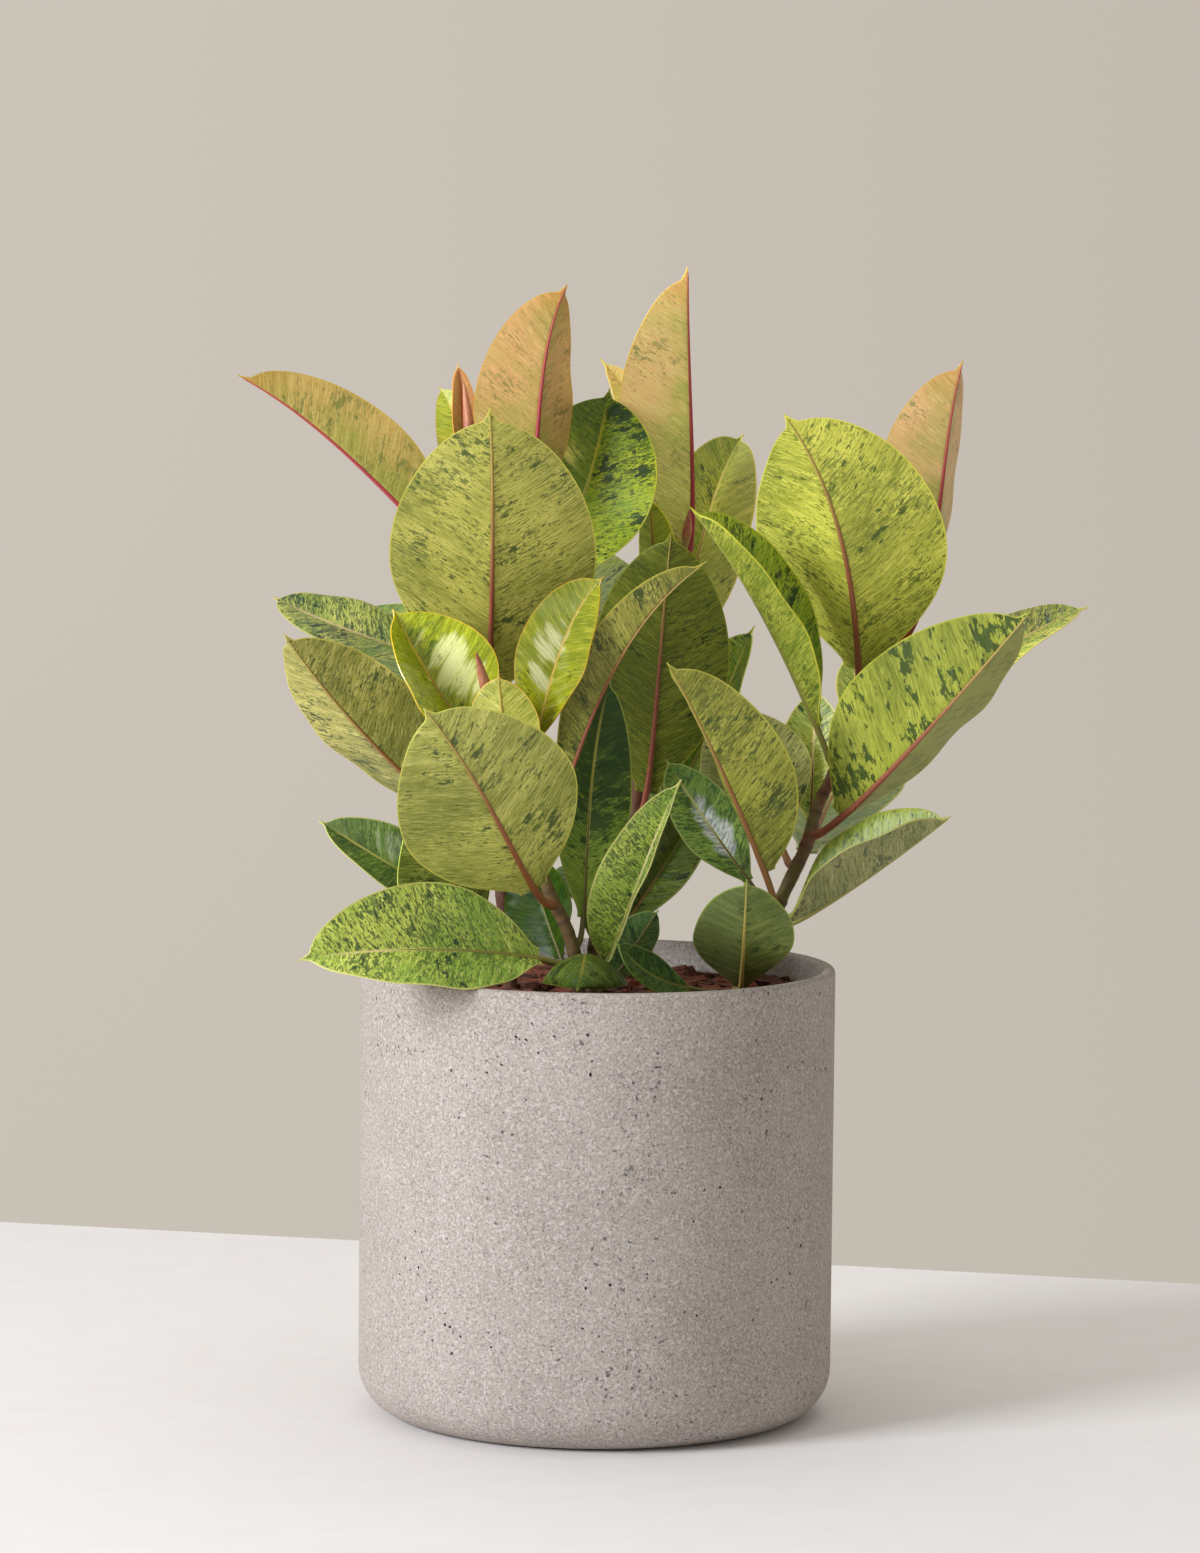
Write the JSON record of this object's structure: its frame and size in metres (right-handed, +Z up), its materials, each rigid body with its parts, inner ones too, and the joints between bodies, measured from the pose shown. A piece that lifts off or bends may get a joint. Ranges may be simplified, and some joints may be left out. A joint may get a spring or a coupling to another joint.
{
  "type": "potted rubber plant",
  "caption": "Variegated rubber plant with broad oval leathery leaves on woody stems, in a round straight-sided concrete planter filled with bark chips.",
  "frame": {"origin": "centre of the planter's flat underside", "axes": "+Z up along the planter's axis, -Y towards the front as pictured, +X to the viewer's right"},
  "size_m": [0.4304, 0.3186, 0.58],
  "materials": {
    "planter": "matt grey-taupe cast concrete with fine speckle and small air holes",
    "bark": "rough reddish-brown bark chips",
    "stem": "smooth woody green-brown with ring scars",
    "bud_sheath": "satin salmon-coloured rolled sheath",
    "leaf_olive": "leathery matt underside, yellow-green with flecks and a red-brown midrib",
    "leaf_green": "leathery satin, bright green with dark streaks",
    "leaf_dark": "leathery glossy dark green",
    "leaf_gloss": "leathery glossy yellow-green",
    "leaf_young": "young satin peach-coloured leaf with a crimson midrib"
  },
  "bodies": {
    "root": {"pot": "planter", "bark": "bark", "stem_left": "stem", "stem_front": "stem", "stem_back": "stem", "stem_right": "stem", "stem_short": "stem", "bud_left": "bud_sheath", "bud_front": "bud_sheath", "bud_back": "bud_sheath", "bud_right": "bud_sheath", "leaf_left_1": "leaf_young", "leaf_left_2": "leaf_young", "leaf_left_3": "leaf_young", "leaf_left_4": "leaf_green", "leaf_left_5": "leaf_olive", "leaf_left_6": "leaf_green", "leaf_left_7": "leaf_olive", "leaf_left_8": "leaf_green", "leaf_left_9": "leaf_dark", "leaf_left_10": "leaf_olive", "leaf_left_11": "leaf_green", "leaf_left_12": "leaf_olive", "leaf_front_1": "leaf_gloss", "leaf_front_2": "leaf_gloss", "leaf_front_3": "leaf_olive", "leaf_front_4": "leaf_gloss", "leaf_front_5": "leaf_olive", "leaf_front_6": "leaf_dark", "leaf_front_7": "leaf_green", "leaf_front_8": "leaf_dark", "leaf_front_9": "leaf_dark", "leaf_back_1": "leaf_olive", "leaf_back_2": "leaf_young", "leaf_back_3": "leaf_young", "leaf_back_4": "leaf_dark", "leaf_back_5": "leaf_olive", "leaf_back_6": "leaf_olive", "leaf_back_7": "leaf_olive", "leaf_back_8": "leaf_green", "leaf_back_9": "leaf_dark", "leaf_right_1": "leaf_olive", "leaf_right_2": "leaf_olive", "leaf_right_3": "leaf_green", "leaf_right_4": "leaf_young", "leaf_right_5": "leaf_green", "leaf_right_6": "leaf_olive", "leaf_right_7": "leaf_dark", "leaf_right_8": "leaf_olive", "leaf_right_9": "leaf_green", "leaf_right_10": "leaf_olive", "leaf_right_11": "leaf_olive", "leaf_right_12": "leaf_olive", "leaf_right_13": "leaf_dark", "leaf_right_14": "leaf_olive", "leaf_short_1": "leaf_green", "leaf_short_2": "leaf_dark", "leaf_short_3": "leaf_dark", "leaf_short_4": "leaf_olive"}
  },
  "joints": []
}
